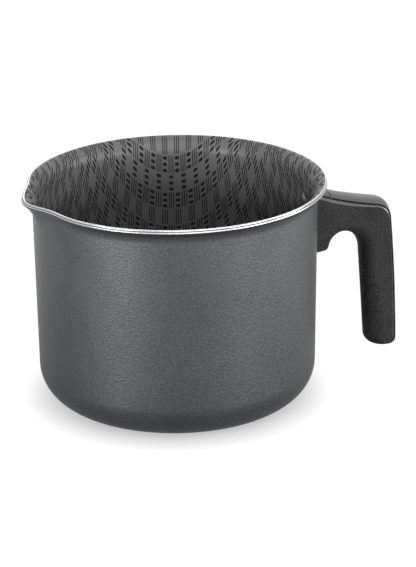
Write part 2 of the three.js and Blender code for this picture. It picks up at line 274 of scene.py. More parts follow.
def lining():
    finish, tree = newFinish("lining")
    look = liningLook
    place = objectPlace(tree)
    fine = grain(tree, place, look["groundGrain"])
    relief = bump(tree, grain(tree, place, look["reliefSize"]), look["reliefStrength"], look["reliefDepth"])
    glossy = principled(tree, {
        "Base Color": mixColours(tree, fine, look["groundDark"], look["groundLight"]),
        "Roughness": look["roughness"] + swing(fine, look["roughnessSwing"]),
        "Specular IOR Level": look["specular"],
        "Normal": relief,
    })
    printed = principled(tree, {
        "Base Color": look["mark"],
        "Roughness": look["markRoughness"] + swing(fine, look["roughnessSwing"]),
        "Specular IOR Level": look["markSpecular"],
        "Normal": relief,
    })
    mixed = Wire.node(tree, "ShaderNodeMixShader", None, {0: weave(tree), 1: glossy, 2: printed})
    return endFinish(finish, mixed)


grainedLook = {  # the sides and the palm of the handle
    "dark": (0.0060, 0.0056, 0.0056, 1),
    "light": (0.0470, 0.0456, 0.0470, 1),
    "speckSize": 0.0009,
    "speckShare": 0.75,
    "cloudSize": 0.012,
    "contrast": 2.2,
    "roughness": 0.50,
    "roughnessSwing": 0.3,
    "specular": 0.05,
    "grainDepth": 0.00040,
    "grainStrength": 0.7,
    "cloudRelief": 0.5,
}
buffedLook = {  # its crown
    **grainedLook,
    "dark": (0.0180, 0.0180, 0.0190, 1),
    "light": (0.0420, 0.0420, 0.0440, 1),
    "roughness": 0.36,
    "specular": 1.0,
    "grainDepth": 0.00010,
}
headLook = {  # the rivets' heads, coated like the lining
    **grainedLook,
    "dark": grey(0.05),
    "light": grey(0.09),
    "roughness": 0.18,
    "specular": 1.0,
    "grainDepth": 0.00003,
}


def speckled(name, look):
    finish, tree = newFinish(name)
    place = objectPlace(tree)
    specks = grain(tree, place, look["speckSize"], detail=3)
    cloud = grain(tree, place, look["cloudSize"])
    shade = specks * look["speckShare"] + cloud * (1 - look["speckShare"])
    factor = (swing(shade, look["contrast"]) + 0.5).clamped()
    height = specks + cloud * look["cloudRelief"]
    return endFinish(finish, principled(tree, {
        "Base Color": mixColours(tree, factor, look["dark"], look["light"]),
        "Roughness": look["roughness"] + swing(specks, look["roughnessSwing"]),
        "Specular IOR Level": look["specular"],
        "Normal": bump(tree, height, look["grainStrength"], look["grainDepth"]),
    }))


rivetLook = {
    "dark": grey(0.55),
    "light": grey(0.75),
    "grainSize": 0.0008,
    "roughness": 0.28,
    "roughnessSwing": 0.25,
    "reliefDepth": 0.00005,
    "reliefStrength": 0.1,
}
steelLook = {
    **rivetLook,
    "dark": (0.42, 0.43, 0.45, 1),
    "light": (0.58, 0.59, 0.60, 1),
    "grainSize": 0.0006,
    "roughness": 0.32,
}


def metal(name, look):
    finish, tree = newFinish(name)
    wear = grain(tree, objectPlace(tree), look["grainSize"], detail=3)
    return endFinish(finish, principled(tree, {
        "Base Color": mixColours(tree, wear, look["dark"], look["light"]),
        "Roughness": look["roughness"] + swing(wear, look["roughnessSwing"]),
        "Metallic": 1.0,
        "Normal": bump(tree, wear, look["reliefStrength"], look["reliefDepth"]),
    }))


coatFinish = graphiteCoat()
rimFinish = bareRim()
liningFinish = lining()
phenolicFinish = speckled("grainedPhenolic", grainedLook)
crownFinish = speckled("buffedPhenolic", buffedLook)
rivetFinish = metal("rivetAluminium", rivetLook)
headFinish = speckled("coatedHead", headLook)
steelFinish = metal("zincSteel", steelLook)
print("finishes made")


# Node trees that make meshes

mergeDistance = 1e-6  # metres
sharpAngle = 32  # degrees


def newTree(name, sizes, finishes):  # a tree with one named input for each size and finish
    tree = bpy.data.node_groups.new(name, "GeometryNodeTree")
    tree.interface.new_socket("Mesh", in_out="OUTPUT", socket_type="NodeSocketGeometry")
    for size in sizes:
        tree.interface.new_socket(size, in_out="INPUT", socket_type="NodeSocketFloat")
    for finish in finishes:
        tree.interface.new_socket(finish, in_out="INPUT", socket_type="NodeSocketMaterial")
    entry = tree.nodes.new("NodeGroupInput")
    return tree, {key: Wire(tree, entry.outputs[key]) for key in [*sizes, *finishes]}


def endTree(tree, mesh, finishes):  # finishes: pairs of a selection, or None for all, and a finish
    made = Wire.node(tree, "GeometryNodeRealizeInstances", None, {0: mesh})
    for selection, finish in finishes:
        inputs = {"Geometry": made, "Material": finish}
        if selection is not None:
            inputs["Selection"] = selection
        made = Wire.node(tree, "GeometryNodeSetMaterial", None, inputs)
    Wire.node(tree, "NodeGroupOutput", None, {0: made})


def pieceByTree(name, tree, values):  # runs a tree and keeps its result as a plain mesh
    piece = bpy.data.objects.new(name, bpy.data.meshes.new(name))
    bpy.context.scene.collection.objects.link(piece)
    run = piece.modifiers.new("form", "NODES")
    run.node_group = tree
    for item in tree.interface.items_tree:
        if item.in_out == "INPUT":
            run[item.identifier] = values[item.name]
    graph = bpy.context.evaluated_depsgraph_get()
    mesh = bpy.data.meshes.new_from_object(
        piece.evaluated_get(graph), preserve_all_data_layers=True, depsgraph=graph)
    piece.modifiers.remove(run)
    piece.data = mesh
    mesh.name = name
    return piece


def vectorOf(tree, x, y, z):
    return Wire.node(tree, "ShaderNodeCombineXYZ", None, {0: x, 1: y, 2: z})


def storeOn(tree, mesh, name, value, kind, domain):  # keeps a value on the mesh
    settings = {"data_type": kind, "domain": domain}
    inputs = {"Geometry": mesh, "Name": name, "Value": value}
    return Wire.node(tree, "GeometryNodeStoreNamedAttribute", settings, inputs)


def storedValue(tree, name):
    return Wire.node(tree, "GeometryNodeInputNamedAttribute", {"data_type": "FLOAT"}, {"Name": name})


# The grid's across runs from 0 to 1 round the piece, and its row counts the steps of the profile.
def gridOf(tree, columns, steps):
    total = sum(steps.values())
    inputs = {"Size X": 1.0, "Size Y": float(total), "Vertices X": columns + 1, "Vertices Y": total + 1}
    grid = Wire.node(tree, "GeometryNodeMeshGrid", None, inputs)
    position = Wire.node(tree, "GeometryNodeInputPosition")
    place = Wire.node(tree, "ShaderNodeSeparateXYZ", None, {0: position})
    across = place + 0.5
    row = place.other(1) + total / 2
    shares = {}
    first = 0
    for name, count in steps.items():
        settings = {"operation": "DIVIDE", "use_clamp": True}
        shares[name] = Wire.node(tree, "ShaderNodeMath", settings, {0: row - first, 1: count})
        first += count
    return grid, across, row, shares


def roundPlaces(tree, grid, angle, outward, upward):  # sets a grid round the upright axis and closes it
    place = vectorOf(tree, outward * angle.math("COSINE"), outward * angle.math("SINE"), upward)
    moved = Wire.node(tree, "GeometryNodeSetPosition", None, {"Geometry": grid, "Position": place})
    inputs = {"Geometry": moved, "Distance": mergeDistance}
    return Wire.node(tree, "GeometryNodeMergeByDistance", None, inputs)


def laidOut(tree, mesh, reach, height):  # lays an upright form along +X, at this reach and height
    return Wire.node(tree, "GeometryNodeTransform", None, {
        "Geometry": mesh,
        "Translation": vectorOf(tree, reach, 0, height),
        "Rotation": (0, math.pi / 2, 0),
    })


def cutBy(tree, mesh, cutters):
    settings = {"operation": "DIFFERENCE", "solver": "MANIFOLD"}
    return Wire.node(tree, "GeometryNodeMeshBoolean", settings, {"Mesh 1": mesh, "Mesh 2": cutters})


def smoothPiece(piece):  # smooth faces that keep their sharp edges
    for face in piece.data.polygons:
        face.use_smooth = True
    piece.data.set_sharp_from_angle(angle=math.radians(sharpAngle))


def volumeOf(mesh):  # cubic centimetres
    form = bmesh.new()
    form.from_mesh(mesh)
    volume = form.calc_volume(signed=True)
    form.free()
    return round(volume * 100 ** 3, 2)


# Pot

potSizes = {  # metres and degrees
    "height": 0.112,
    "bodyRadius": 0.0705,
    "draft": 0.74,
    "wall": 0.0022,
    "baseCorner": 0.0185,
    "flareReach": 0.0045,
    "flareAngle": 70.0,
    "lipReach": 0.0034,
    "lipHalfAngle": 10.5,
    "lipFlareRadius": 0.018,
    "lipDip": 0.00145,
    "lipPinch": 0.0009,  # the hollows in the rim beside the lip
    "lipPinchAngle": 19.5,
    "lipPinchHalfAngle": 7.9,
    "lipPullIn": 0.00105,  # the rim round the lip is drawn in and down
    "lipPullDown": 0.00075,
    "lipPullHalfAngle": 66.0,
    "edgeCrown": 0.00030,
    "edgeGroove": 0.00028,
    "rivetHole": 0.0028,
    "upperRivet": 0.0928,
    "lowerRivet": 0.0723,
    "printTurn": -16.0,
}
potSteps = {
    "base": 8, "corner": 22, "side": 24, "flare": 16, "edge": 14,
    "insideFlare": 16, "insideSide": 24, "insideCorner": 20, "floor": 12,
}
potColumns = 288
coatedEdge = 3  # the coat laps over this many steps of the edge
edgeGrooveShare = 0.16  # the groove's half width as a share of half the edge
lipCrowding = 0.45  # the columns stand closer together at the lip
drillSides = 48
drillLength = 0.02


def potTree():
    tree, size = newTree("potForm", potSizes, ("coat", "bareRim", "lining"))
    grid, across, row, share = gridOf(tree, potColumns, potSteps)
    turn = {name: size[name].math("RADIANS") for name in (
        "draft", "flareAngle", "lipHalfAngle", "lipPinchAngle", "lipPinchHalfAngle", "lipPullHalfAngle",
        "printTurn")}
    even = across * (2 * math.pi)
    fromLip = even - even.math("SINE") * lipCrowding
    aside = fromLip.math("MINIMUM", 2 * math.pi - fromLip)
    angle = fromLip + math.pi
    bulge = hump(aside, turn["lipHalfAngle"])
    pinch = hump(aside - turn["lipPinchAngle"], turn["lipPinchHalfAngle"])
    pull = hump(aside, turn["lipPullHalfAngle"])
    wall = size["wall"]
    corner = size["baseCorner"]
    flareRadius = size["flareReach"] / (1 - turn["flareAngle"].math("COSINE"))
    slope = turn["draft"].math("TANGENT")
    plainStart = size["height"] - (flareRadius + wall) * turn["flareAngle"].math("SINE")
    reach = (size["flareReach"] + size["lipReach"] * bulge
             - size["lipPinch"] * pinch - size["lipPullIn"] * pull)
    radius = flareRadius + (size["lipFlareRadius"] - flareRadius) * bulge
    bend = (1 - reach / radius).math("ARCCOSINE")
    bendCosine = bend.math("COSINE")
    bendSine = bend.math("SINE")
    top = size["height"] - size["lipDip"] * bulge - size["lipPullDown"] * pull
    start = top - (radius + wall) * bendSine
    sideTop = size["bodyRadius"] - (plainStart - start) * slope
    sideFoot = size["bodyRadius"] - (plainStart - corner) * slope
    cornerCentre = sideFoot - corner
    insideCorner = corner - wall
    quarter = math.pi / 2
    rise = share["corner"] * quarter
    out = share["flare"] * bend
    back = (1 - share["insideFlare"]) * bend
    sink = share["insideCorner"] * quarter
    edge = share["edge"]
    edgePlace = edge * 2 - 1
    groovePlace = 2 * rimLook["grooveShadePlace"] - 1
    edgeOut = (size["edgeCrown"] * (1 - edgePlace ** 6)
               - size["edgeGroove"] * hump(edgePlace - groovePlace, edgeGrooveShare))
    outward = (cornerCentre * (share["base"] - share["floor"])
               + corner * rise.math("SINE")
               + (sideTop - sideFoot) * (share["side"] - share["insideSide"])
               + radius * (1 - out.math("COSINE"))
               + edgeOut * bendSine - wall * edge * bendCosine
               - (radius + wall) * (back.math("COSINE") - bendCosine)
               - insideCorner * (1 - sink.math("COSINE")))
    upward = (corner * (1 - rise.math("COSINE"))
              + (start - corner) * (share["side"] - share["insideSide"])
              + radius * out.math("SINE")
              + edgeOut * bendCosine + wall * edge * bendSine
              - (radius + wall) * (bendSine - back.math("SINE"))
              - insideCorner * sink.math("SINE"))
    # The print keeps its area as the flat sheet is drawn into the pot.
    lift = (1 - share["insideCorner"]) * quarter
    insideRadius = size["bodyRadius"] - wall
    drawn = ((cornerCentre * (1 - share["floor"])) ** 2
             + 2 * insideCorner * (cornerCentre * lift + insideCorner * (1 - lift.math("COSINE")))
             + 2 * insideRadius * (start - corner) * (1 - share["insideSide"])
             + 2 * insideRadius * (radius + wall) * back)
    flat = drawn.math("SQRT")
    printAngle = angle - turn["printTurn"]
    sheet = vectorOf(tree, flat * printAngle.math("COSINE"), flat * printAngle.math("SINE"), 0)
    marked = storeOn(tree, grid, "profileRow", row, "FLOAT", "FACE")
    marked = storeOn(tree, marked, "edgeShare", edge, "FLOAT", "CORNER")
    mapped = storeOn(tree, marked, "sheet", sheet, "FLOAT2", "CORNER")
    shell = roundPlaces(tree, mapped, angle, outward, upward)
    shell = Wire.node(tree, "GeometryNodeSetShadeSmooth", None, {"Geometry": shell})
    drills = []
    for name in ("upperRivet", "lowerRivet"):
        drill = Wire.node(tree, "GeometryNodeMeshCylinder", None, {
            "Vertices": drillSides, "Radius": size["rivetHole"], "Depth": drillLength})
        drills.append(laidOut(tree, drill, size["bodyRadius"], size[name]))
    outside = sum(potSteps[name] for name in ("base", "corner", "side", "flare"))
    inside = outside + potSteps["edge"]
    rowNow = storedValue(tree, "profileRow")
    endTree(tree, cutBy(tree, shell, drills), [
        (None, size["coat"]),
        (rowNow > outside + coatedEdge, size["bareRim"]),
        (rowNow > inside, size["lining"]),
    ])
    return tree


pot = pieceByTree("drawnPot", potTree(), {
    **potSizes, "coat": coatFinish, "bareRim": rimFinish, "lining": liningFinish})
print("pot made:", len(pot.data.polygons), "faces,", volumeOf(pot.data), "cubic centimetres")
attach(pot, "root")
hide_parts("pot")


# Handle

handleSizes = {  # metres and degrees
    "width": 0.016,
    "crownRise": 0.0025,
    "rootTop": 0.1015,
    "rootBottom": 0.0667,
    "rootDepth": 0.0079,
    "rootRise": 0.0012,
    "archReach": 0.0088,
    "archTop": 0.0759,
    "archDrop": 0.0044,
    "fingerGap": 0.0281,
    "gripThickness": 0.0166,
    "gripBulge": 0.0007,
    "gripLean": 3.6,
    "gripClearance": 0.0115,
    "armDrop": 0.0116,
    "armRootSlope": 25.0,
    "armEndSlope": 11.3,
    "armCornerLength": 0.007,
    "palmRadius": 0.0076,
    "palmRoom": 0.97,  # it takes up to this share of half the width
    "archEdgeRadius": 0.0048,
    "rootEdgeRadius": 0.0015,
    "rootCorner": 0.002,
    "gripEndInner": 0.006,
    "gripEndOuter": 0.004,
    "gripEndSide": 0.003,
    "seamHeight": 0.0011,
    "seamFloor": 0.8,  # share of its height
    "seamDepth": 0.0018,
    "chamferHeight": 0.0013,
    "chamferDepth": 0.0009,
    "gripBevel": 0.3,  # the chamfer narrows to this share along the grip
    "crossSeam": 0.0799,  # a groove across the crown
    "crossSeamDepth": 0.0007,
    "crossSeamHalfWidth": 0.0003,
    "clearance": 0.0003,
}
handleSteps = {
    "inside": 2, "root": 12, "rootCorner": 16, "archRise": 72, "archFall": 44, "grip": 24, "gripEnd": 12,
}
sectionSteps = {"flat": 4, "palm": 10, "side": 6, "crown": 16}  # half a section, from the palm
chamferFace = sectionSteps["flat"] + sectionSteps["palm"] + sectionSteps["side"]
crownFace = chamferFace + 4  # past the groove
weldDistance = 1e-7


def sideRadius(z):  # the pot's outside
    flare = math.radians(potSizes["flareAngle"])
    flareRadius = potSizes["flareReach"] / (1 - math.cos(flare))
    start = potSizes["height"] - (flareRadius + potSizes["wall"]) * math.sin(flare)
    return potSizes["bodyRadius"] - (start - z) * math.tan(math.radians(potSizes["draft"]))


def between(pair, t):
    return pair[0] + (pair[1] - pair[0]) * t


def bezier(points):
    def at(t):
        row = [Vector(p) for p in points]
        while len(row) > 1:
            row = [a.lerp(b, t) for a, b in zip(row, row[1:])]
        return row[0]
    return at


def roundLine(centre, size, turns):  # an arc of an ellipse
    def at(t):
        turn = between(turns, t)
        return Vector((centre[0] + size[0] * math.cos(turn), centre[1] + size[1] * math.sin(turn)))
    return at


def stretch(line, start, end):  # the part of a line between two shares of it
    def at(t):
        return line(between((start, end), t))
    return at


def joined(first, second):
    def at(t):
        return first(2 * t) if t < 0.5 else second(2 * t - 1)
    return at


# Each entry has its steps, its line on the outer side and its line on the fingers' side, and
# at both ends the radius of its edges and the share of the chamfer.
def handleLines():
    s = handleSizes
    seat = sideRadius(s["rootBottom"]) + s["clearance"]
    face = seat + s["rootDepth"]
    archFoot = s["rootBottom"] + s["rootRise"]
    gripTop = archFoot - s["archDrop"]
    gripInner = sideRadius(s["rootBottom"]) + s["fingerGap"]
    lean = math.tan(math.radians(s["gripLean"]))

    def innerAt(z):
        return gripInner + (gripTop - z) * lean

    def outerAt(z):
        return innerAt(z) + s["gripThickness"]

    gripEnd = s["gripClearance"] + s["gripEndInner"]
    cornerHeight = s["rootTop"] - s["armDrop"]
    cornerOut = outerAt(cornerHeight)
    endFall = math.tan(math.radians(s["armEndSlope"]))
    span = cornerOut - s["armCornerLength"] - seat
    armEnd = (seat + span, cornerHeight + s["armCornerLength"] * endFall)
    rootFall = math.tan(math.radians(s["armRootSlope"]))
    armTop = bezier([
        (seat, s["rootTop"]),
        (seat + span / 3, s["rootTop"] - rootFall * span / 3),
        (armEnd[0] - span / 3, armEnd[1] + endFall * span / 3),
        armEnd,
    ])

    def shareAt(x):
        return (x - seat) / span

    screwPlace = face + s["archReach"]
    cornerFoot = cornerHeight - s["armCornerLength"]
    cornerEnd = (outerAt(cornerFoot), cornerFoot)
    armCorner = bezier([armEnd, (cornerOut, cornerHeight), cornerEnd])
    gripBase = (outerAt(gripEnd), gripEnd)
    gripMiddle = ((cornerEnd[0] + gripBase[0]) / 2 + 2 * s["gripBulge"], (cornerEnd[1] + gripBase[1]) / 2)
    inside = seat - s["rootDepth"]
    underside = Vector((seat, s["rootBottom"]))
    rootTip = Vector((face, archFoot))
    roundStart = rootTip.lerp(underside, s["rootCorner"] / s["rootDepth"])
    rise = (screwPlace - face, s["archTop"] - archFoot)
    fall = (gripInner - screwPlace, s["archTop"] - gripTop)
    riseStart = math.pi - math.asin(s["rootCorner"] / rise[1])
    archRise = roundLine((screwPlace, archFoot), rise, (riseStart, math.pi / 2))
    archFall = roundLine((screwPlace, gripTop), fall, (math.pi / 2, 0))
    roundEnd = archRise(0)
    root = s["rootEdgeRadius"]
    arch = s["archEdgeRadius"]
    palm = s["palmRadius"]
    fine = s["gripBevel"]
    outerLines = {
        "inside": bezier([(inside, s["rootTop"]), (seat, s["rootTop"])]),
        "root": stretch(armTop, 0, shareAt(roundStart.x)),
        "rootCorner": stretch(armTop, shareAt(roundStart.x), shareAt(roundEnd.x)),
        "archRise": stretch(armTop, shareAt(roundEnd.x), shareAt(screwPlace)),
        "archFall": joined(stretch(armTop, shareAt(screwPlace), 1), armCorner),
        "grip": bezier([cornerEnd, gripMiddle, gripBase]),
    }
    innerLines = {
        "inside": bezier([(inside, s["rootBottom"]), underside]),
        "root": bezier([underside, roundStart]),
        "rootCorner": bezier([roundStart, rootTip, roundEnd]),
        "archRise": archRise,
        "archFall": archFall,
        "grip": bezier([(gripInner, gripTop), (innerAt(gripEnd), gripEnd)]),
    }
    edges = {
        "inside": ((root, root), (1, 1)),
        "root": ((root, root), (1, 1)),
        "rootCorner": ((root, root), (1, 1)),
        "archRise": ((root, arch), (1, 1)),
        "archFall": ((arch, palm), (1, fine)),
        "grip": ((palm, palm), (fine, fine)),
    }
    lines = [(handleSteps[name], outerLines[name], innerLines[name], *edges[name]) for name in outerLines]
    return lines, innerAt, outerAt, gripEnd


def handleSection(inner, outer, half, palmSize, seam, bevel, dip):  # one closed ring of points
    s = handleSizes
    steps = sectionSteps
    up = outer - inner
    depth = up.length
    up.normalize()
    rise = min(s["crownRise"], depth / 2, half / 2)
    palm = min(palmSize, depth - rise, half * s["palmRoom"])
    crown = (half ** 2 + rise ** 2) / (2 * rise)
    edge = depth - rise
    lip = half - bevel * s["chamferDepth"]
    groove = lip - seam * s["seamDepth"]
    mouth = seam * s["seamHeight"] / 2
    bed = mouth * s["seamFloor"]
    low = edge - bevel * s["chamferHeight"] - mouth
    points = [((half - palm) * k / steps["flat"], 0) for k in range(steps["flat"])]
    for k in range(steps["palm"] + 1):
        turn = -math.pi / 2 + math.pi / 2 * k / steps["palm"]
        points.append((half - palm + palm * math.cos(turn), palm + palm * math.sin(turn)))
    points += [(half, palm + (low - palm) * k / steps["side"]) for k in range(1, steps["side"] + 1)]
    points += [(lip, edge - mouth), (groove, edge - bed), (groove, edge + bed), (lip, edge + mouth)]
    widest = math.asin(lip / crown)
    for k in range(steps["crown"] + 1):
        turn = widest * (1 - k / steps["crown"])
        points.append((crown * math.sin(turn), depth - crown + crown * math.cos(turn) - dip))
    whole = points + [(-y, z) for y, z in points[-2:0:-1]]
    return [Vector((inner.x + up.x * z, y, inner.y + up.y * z)) for y, z in whole]


def handleRings():
    s = handleSizes
    half = s["width"] / 2
    lines, innerAt, outerAt, gripEnd = handleLines()
    rings = []
    for steps, outer, inner, palm, bevel in lines:
        for k in range(1 if rings else 0, steps + 1):
            t = k / steps
            a, b = inner(t), outer(t)
            away = (b.x - s["crossSeam"]) / s["crossSeamHalfWidth"]
            dip = s["crossSeamDepth"] * math.exp(-away ** 2)
            rings.append(handleSection(a, b, half, between(palm, t), 1, between(bevel, t), dip))
    for k in range(1, handleSteps["gripEnd"] + 1):
        turn = math.pi / 2 * k / handleSteps["gripEnd"]
        rounded = 1 - math.cos(turn)
        drop = math.sin(turn)
        a = Vector((innerAt(gripEnd) + s["gripEndInner"] * rounded, gripEnd - s["gripEndInner"] * drop))
        b = Vector((outerAt(gripEnd) - s["gripEndOuter"] * rounded,
                    s["gripClearance"] + s["gripEndOuter"] * (1 - drop)))
        narrow = half - s["gripEndSide"] * rounded
        left = 1 - drop  # what is left of the seam and the chamfer
        rings.append(handleSection(a, b, narrow, s["palmRadius"], left, s["gripBevel"] * left, 0))
    return rings


def handleForm():
    form = bmesh.new()
    rows = [[form.verts.new(p) for p in ring] for ring in handleRings()]
    count = len(rows[0])
    for a, b in zip(rows, rows[1:]):
        for k in range(count):
            face = form.faces.new((a[k], a[(k + 1) % count], b[(k + 1) % count], b[k]))
            place = min(k, count - 1 - k)
            face.material_index = 1 if place == chamferFace or place >= crownFace else 0
    for ring in (rows[0], rows[-1]):
        middle = form.verts.new(sum((v.co for v in ring), Vector()) / count)
        for k in range(count):
            form.faces.new((ring[k], ring[(k + 1) % count], middle))
    bmesh.ops.remove_doubles(form, verts=form.verts, dist=weldDistance)
    bmesh.ops.recalc_face_normals(form, faces=form.faces)
    return form


def meshPiece(name, form, *finishes):
    mesh = bpy.data.meshes.new(name)
    form.to_mesh(mesh)
    form.free()
    for finish in finishes:
        mesh.materials.append(finish)
    piece = bpy.data.objects.new(name, mesh)
    bpy.context.scene.collection.objects.link(piece)
    return piece


socketSizes = {  # what the boxes of the pieces in the socket don't give
    "tongueWidth": 0.009,
    "tongueThickness": 0.0025,
    "screwRadius": 0.002,
    "overshoot": 0.001,
}
boreSides = 64
seatSides = 360
seatHeights = (0.05, 0.06, 0.07, 0.08, 0.09, 0.1, 0.112)  # from below the root to the rim


def blockForm(low, high):
    form = bmesh.new()
    size = Vector(high) - Vector(low)
    middle = (Vector(high) + Vector(low)) / 2
    place = Matrix.Translation(middle) @ Matrix.Diagonal((*size, 1))
    bmesh.ops.create_cube(form, size=1, matrix=place)
    return form


def barForm(radius, x, low, high):
    form = bmesh.new()
    halfStep = Matrix.Rotation(math.pi / boreSides, 4, "Z")  # keeps its corners off the rings of the handle
    place = Matrix.Translation((x, 0, (low + high) / 2)) @ halfStep
    bmesh.ops.create_cone(form, cap_ends=True, segments=boreSides, radius1=radius, radius2=radius,
                          depth=high - low, matrix=place)
    return form


def seatForm():  # the pot's outside with the clearance, that the root of the handle sits on
    form = bmesh.new()
    turns = [math.tau * k / seatSides for k in range(seatSides)]
    rings = []
    for z in seatHeights:
        r = sideRadius(z) + handleSizes["clearance"]
        rings.append([form.verts.new((r * math.cos(turn), r * math.sin(turn), z)) for turn in turns])
    for a, b in zip(rings, rings[1:]):
        for k in range(seatSides):
            after = (k + 1) % seatSides
            form.faces.new((a[k], a[after], b[after], b[k]))
    form.faces.new(list(reversed(rings[0])))
    form.faces.new(rings[-1])
    return form


def socketCutters():  # the seat on the pot, and room for the bracket, nut, screw and washer
    gap = handleSizes["clearance"]
    inside = sideRadius(handleSizes["rootBottom"]) - socketSizes["overshoot"]
    bracketLow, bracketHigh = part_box("handle_bracket")
    nutLow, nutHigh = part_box("square_nut")
    screwLow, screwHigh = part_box("handle_screw")
    washerLow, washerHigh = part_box("spring_washer")
    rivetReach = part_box("upper_rivet")[1].x + gap
    screwPlace = (screwLow.x + screwHigh.x) / 2
    slotFloor = nutLow.z - 2 * gap - socketSizes["tongueThickness"]
    recess = bracketHigh.y + gap
    slot = socketSizes["tongueWidth"] / 2 + gap
    pocket = nutHigh.y + gap
    return [
        seatForm(),
        blockForm((inside, -recess, bracketLow.z - gap), (rivetReach, recess, bracketHigh.z + gap)),
        blockForm((inside, -slot, slotFloor), (bracketHigh.x + gap, slot, nutLow.z)),
        blockForm((inside, -pocket, nutLow.z - gap), (nutHigh.x + gap, pocket, nutHigh.z + gap)),
        barForm(socketSizes["screwRadius"] + gap, screwPlace, washerLow.z, screwHigh.z + gap),
        barForm(screwHigh.y + gap, screwPlace, handleSizes["rootBottom"], washerHigh.z + gap),
    ]


def cutAway(piece, cutters):
    for k, form in enumerate(cutters):
        cutter = meshPiece(piece.name + "Cutter" + str(k), form, phenolicFinish)
        step = piece.modifiers.new("cut", "BOOLEAN")
        step.operation = "DIFFERENCE"
        step.solver = "MANIFOLD"
        step.object = cutter
        graph = bpy.context.evaluated_depsgraph_get()
        mesh = bpy.data.meshes.new_from_object(piece.evaluated_get(graph), depsgraph=graph)
        piece.modifiers.remove(step)
        old = piece.data
        piece.data = mesh
        bpy.data.meshes.remove(old)
        bpy.data.objects.remove(cutter)


def makeHandle():
    piece = meshPiece("hookHandle", handleForm(), phenolicFinish, crownFinish)
    cutAway(piece, socketCutters())
    smoothPiece(piece)
    return piece


handle = makeHandle()
print("handle made:", len(handle.data.polygons), "faces,", volumeOf(handle.data), "cubic centimetres")
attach(handle, "root")
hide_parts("handle")


# Rivets

rivetSizes = {  # metres
    "headRadius": 0.0045,
    "headHeight": 0.0017,
    "shankRadius": 0.0025,
    "tailRadius": 0.0035,
    "tailHeight": 0.0016,
}
rivetSteps = {"dome": 14, "seat": 3, "shank": 6, "tailSeat": 3, "tail": 10}
rivetColumns = 64


def rivetTree():
    placed = ("shankLength", "reach", "height")
    tree, size = newTree("rivetForm", [*rivetSizes, *placed], ["metal", "headCoat"])
    grid, across, row, share = gridOf(tree, rivetColumns, rivetSteps)
    grid = storeOn(tree, grid, "profileRow", row, "FLOAT", "FACE")
    head = size["headRadius"]
    domeRadius = (head ** 2 + size["headHeight"] ** 2) / (2 * size["headHeight"])
    dome = share["dome"] * (head / domeRadius).math("ARCSINE")
    tail = share["tail"] * (math.pi / 2)
    outward = (domeRadius * dome.math("SINE")
               - (head - size["shankRadius"]) * share["seat"]
               + (size["tailRadius"] - size["shankRadius"]) * share["tailSeat"]
               - size["tailRadius"] * (1 - tail.math("COSINE")))
    upward = (domeRadius * (1 - dome.math("COSINE"))
              + size["shankLength"] * share["shank"]
              + size["tailHeight"] * tail.math("SINE"))
    shell = roundPlaces(tree, grid, across * (2 * math.pi), outward, upward)
    onHead = storedValue(tree, "profileRow") < rivetSteps["dome"]
    endTree(tree, laidOut(tree, shell, size["reach"], size["height"]), [
        (None, size["metal"]),
        (onHead, size["headCoat"]),
    ])
    return tree


def makeRivet(name, node, tree):
    low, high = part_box(node)
    ends = rivetSizes["headHeight"] + rivetSizes["tailHeight"]
    piece = pieceByTree(name, tree, {
        **rivetSizes,
        "shankLength": high.x - low.x - ends,
        "reach": low.x,
        "height": (low.z + high.z) / 2,
        "metal": rivetFinish,
        "headCoat": headFinish,
    })
    smoothPiece(piece)
    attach(piece, "root")
    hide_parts(node)
    return piece


rivetForm = rivetTree()
rivets = [
    makeRivet("upperRivet", "upper_rivet", rivetForm),
    makeRivet("lowerRivet", "lower_rivet", rivetForm),
]
print("rivets made:", [len(rivet.data.polygons) for rivet in rivets], "faces")


# Screw

screwSizes = {  # metres
    "headRadius": 0.0037,
    "headHeight": 0.0026,
    "headRound": 0.0009,
    "slotWidth": 0.0011,
    "slotDepth": 0.0012,
    "shankRadius": 0.002,
    "threadPitch": 0.0007,
    "threadDepth": 0.0003,
    "plainNeck": 0.0014,
    "tipChamfer": 0.0004,
}
screwSteps = {"face": 6, "round": 8, "side": 3, "seat": 3, "neck": 2, "thread": 152, "chamfer": 2, "tip": 3}
screwColumns = 48
threadFade = 20  # it fades in and out over one of this many parts of its length


def screwTree():
    tree, size = newTree("screwForm", [*screwSizes, "length", "reach", "height"], ["metal"])
    grid, across, _, share = gridOf(tree, screwColumns, screwSteps)
    head = size["headRadius"]
    edge = size["headRound"]
    turn = share["round"] * (math.pi / 2)
    threadLength = size["length"] - size["headHeight"] - size["plainNeck"] - size["tipChamfer"]
    climb = threadLength * share["thread"]
    wave = ((climb / size["threadPitch"] - across).math("FRACT") * 2 - 1).math("ABSOLUTE")
    fromEnd = share["thread"].math("MINIMUM", 1 - share["thread"])
    fade = (fromEnd * threadFade).clamped()
    outward = ((head - edge) * share["face"] + edge * turn.math("SINE")
               - (head - size["shankRadius"]) * share["seat"]
               - size["threadDepth"] * wave * fade
               - size["tipChamfer"] * share["chamfer"]
               - (size["shankRadius"] - size["tipChamfer"]) * share["tip"])
    upward = (edge * (1 - turn.math("COSINE"))
              + (size["headHeight"] - edge) * share["side"]
              + size["plainNeck"] * share["neck"] + climb
              + size["tipChamfer"] * share["chamfer"])
    shell = roundPlaces(tree, grid, across * (2 * math.pi), outward, upward)
    # The slot's cutter is longer than the head is wide, and half of it stands out of the head.
    slotSize = vectorOf(tree, size["slotWidth"], head * 3, size["slotDepth"] * 2)
    slot = Wire.node(tree, "GeometryNodeMeshCube", None, {"Size": slotSize})
    place = vectorOf(tree, size["reach"], 0, size["height"])
    placed = Wire.node(tree, "GeometryNodeTransform", None, {
        "Geometry": cutBy(tree, shell, slot), "Translation": place})
    endTree(tree, placed, [(None, size["metal"])])
    return tree


